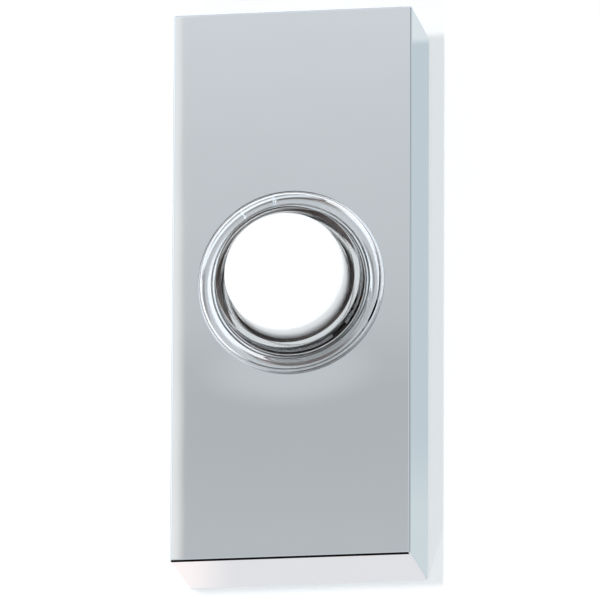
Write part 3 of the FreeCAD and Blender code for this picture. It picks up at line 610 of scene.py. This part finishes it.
def makeStage():
    wall = {"half": 2.0, "low": -1.0, "high": 2.0, "gap": 0.0004}
    floor = {"half": 3.0, "front": -4.0, "back": 3.0}
    half, y = wall["half"], wall["gap"]
    plane("backdrop", upright((-half, y), (half, y), wall["low"], wall["high"]), wallMaterial())
    plane("floor", flat(-floor["half"], floor["half"], floor["front"], floor["back"], wall["low"]),
          floorMaterial())
    # cards that only metal and clear plastic see; they light nothing. The near and edge cards lie close to
    # the cover's rounded edges, as a painted highlight on its left edge and a painted dark line on its
    # bottom edge; the side card gives a painted grey line on its right edge; the dark floor and skirt and
    # the left card show only through the clear ring, as painted shade on its lower part and a painted
    # highlight on its left side
    white, bright = (1.0, 1.0, 1.0), 1.55
    paintedShadeThroughRing = emitter("painted_shade_through_ring", (0.018, 0.012, 0.011), 1.0, throughOnly=True)
    cards = {
        "grey_card": (upright((-0.10, -0.30), (0.03, -0.30), -0.02, 0.20), cardMaterial()),
        # painted dark line: a near-black card just under the cover's bottom rounded edge
        "painted_dark_edge_card": (flat(-0.0205, 0.0190, -0.0196, -0.0162, -0.0450),
                      emitter("painted_dark_edge_card", (0.012, 0.008, 0.008), 1.0)),
        # painted shade: dark sheets below and in front of the push, seen only through the clear ring
        "painted_shade_floor": (flat(-0.8, 0.8, -2.6, -0.001, -0.35), paintedShadeThroughRing),
        "painted_shade_skirt": (upright((-0.8, -0.001), (0.8, -0.001), -0.35, -0.08), paintedShadeThroughRing),
        # painted grey line: a dim card that the cover's right rounded edge mirrors
        "painted_grey_line_side_card": (upright((0.20, -0.285), (0.275, -0.215), 0.0, 0.19),
                      emitter("painted_grey_line_side_card", (0.22, 0.22, 0.23), 1.0)),
        # painted highlight: a bright card seen only through the clear ring, lighting its left side
        "painted_highlight_left_card": (upright((-0.30, -0.30), (-0.30, 0.0), -0.30, 0.45),
                      emitter("painted_highlight_left_card", white, bright, throughOnly=True)),
        # painted highlight: a white card beside the cover's left rounded edge
        "painted_highlight_near_card": (upright((-0.0225, -0.0230), (-0.0225, -0.0179), -0.047, 0.050),
                      emitter("painted_highlight_near_card", white, bright)),
    }
    for name, (corners, material) in cards.items():
        card = plane(name, corners, material)
        card.visible_camera = False
        card.visible_shadow = False
        card.visible_diffuse = False


def makeWorld():
    # soft room: dimmer for what it lights, brighter where metal and clear plastic mirror it, and darker to
    # the right and below where clear plastic sees it, less so in metal: painted shade in the ring and,
    # weaker, in the polished edges
    room = {"light": 0.40, "mirrored": 1.12, "low": (0.55, 0.57, 0.60), "high": (0.95, 0.97, 1.0),
            "tintSpan": (-0.9, 0.5), "rightDark": 0.8, "lowDark": 0.6, "darkSpan": (-0.15, 0.6),
            "darkest": 0.9, "metalDark": 0.35}
    world = bpy.data.worlds.new("studio")
    bpy.context.scene.world = world
    world.use_nodes = True
    world.node_tree.nodes.clear()
    wire = Wire(world.node_tree)
    path = wire.node("ShaderNodeLightPath")
    glossy, through = path.other("Is Glossy Ray"), path.other("Is Transmission Ray")
    mirrored = glossy + through
    across, up = acrossAndUp(wire, wire.node("ShaderNodeTexCoord").other("Generated"))
    tint = up.span(*room["tintSpan"]).blend(rgba(room["low"]), rgba(room["high"]))
    # painted shade: darker to the right and below, for rays through clear plastic and, weaker, for metal
    shade = (across * room["rightDark"] - up * room["lowDark"]).span(*room["darkSpan"])
    shade = shade * room["darkest"] * (through + glossy * room["metalDark"])
    level = room["light"] + mirrored * (room["mirrored"] * (1 - shade) - room["light"])
    lights = wire.node("ShaderNodeBackground", {}, {"Color": tint, "Strength": level})
    seen = wire.node("ShaderNodeBackground", {}, {"Color": (1, 1, 1, 1), "Strength": 1.0})
    mixed = wire.node("ShaderNodeMixShader", {}, {0: path, 1: lights, 2: seen})
    output = world.node_tree.nodes.new("ShaderNodeOutputWorld")
    world.node_tree.links.new(mixed.socket, output.inputs["Surface"])


def makeLamps():
    # place, size and watts; both aim at the push
    lamps = {"key_lamp": ((-0.150, -1.3, 0.01), (0.02, 0.08), 4.4),
             "low_lamp": ((-0.14, -1.2, -0.60), (0.03, 0.05), 1.0)}
    warmth = (1.0, 0.99, 0.98)
    for name, (spot, size, watts) in lamps.items():
        light = bpy.data.lights.new(name, "AREA")
        light.shape = "RECTANGLE"
        light.size, light.size_y = size
        light.energy = watts
        light.color = warmth
        lamp = bpy.data.objects.new(name, light)
        bpy.context.scene.collection.objects.link(lamp)
        lamp.location = spot
        lamp.rotation_euler = (-Vector(spot)).to_track_quat("-Z", "Y").to_euler()
        lamp.visible_glossy = False


def makeCamera():
    # angles in degrees; frame is the width that the picture takes in at the push
    view = {"azimuth": 9.41, "elevation": -14.98, "roll": 0.29, "distance": 2.0, "frame": 0.09452,
            "aimAcross": -0.000076, "aimUp": -0.00045, "middle": (0, -0.009, 0), "sensor": 36.0,
            "reach": 20.0}
    azimuth, elevation = math.radians(view["azimuth"]), math.radians(view["elevation"])
    towards = Vector((math.sin(azimuth) * math.cos(elevation), -math.cos(azimuth) * math.cos(elevation),
                      math.sin(elevation)))
    lens = bpy.data.cameras.new("camera")
    lens.sensor_width = view["sensor"]
    lens.lens = view["sensor"] * view["distance"] / view["frame"]
    lens.clip_end = view["reach"]
    camera = bpy.data.objects.new("camera", lens)
    bpy.context.scene.collection.objects.link(camera)
    turn = towards.to_track_quat("Z", "Y").to_matrix()
    right, up = turn.col[0], turn.col[1]
    roll = math.radians(view["roll"])
    rolledRight = right * math.cos(roll) + up * math.sin(roll)
    rolledUp = up * math.cos(roll) - right * math.sin(roll)
    aim = Vector(view["middle"]) + rolledRight * view["aimAcross"] + rolledUp * view["aimUp"]
    matrix = turn.to_4x4()
    for row in range(3):
        matrix[row][0], matrix[row][1] = rolledRight[row], rolledUp[row]
    matrix.translation = aim + towards * view["distance"]
    camera.matrix_world = matrix
    bpy.context.scene.camera = camera


makeStage()
makeWorld()
makeLamps()
makeCamera()
bpy.context.scene.view_settings.view_transform = "Standard"
print("doorbell push: stage, lamps and camera set")
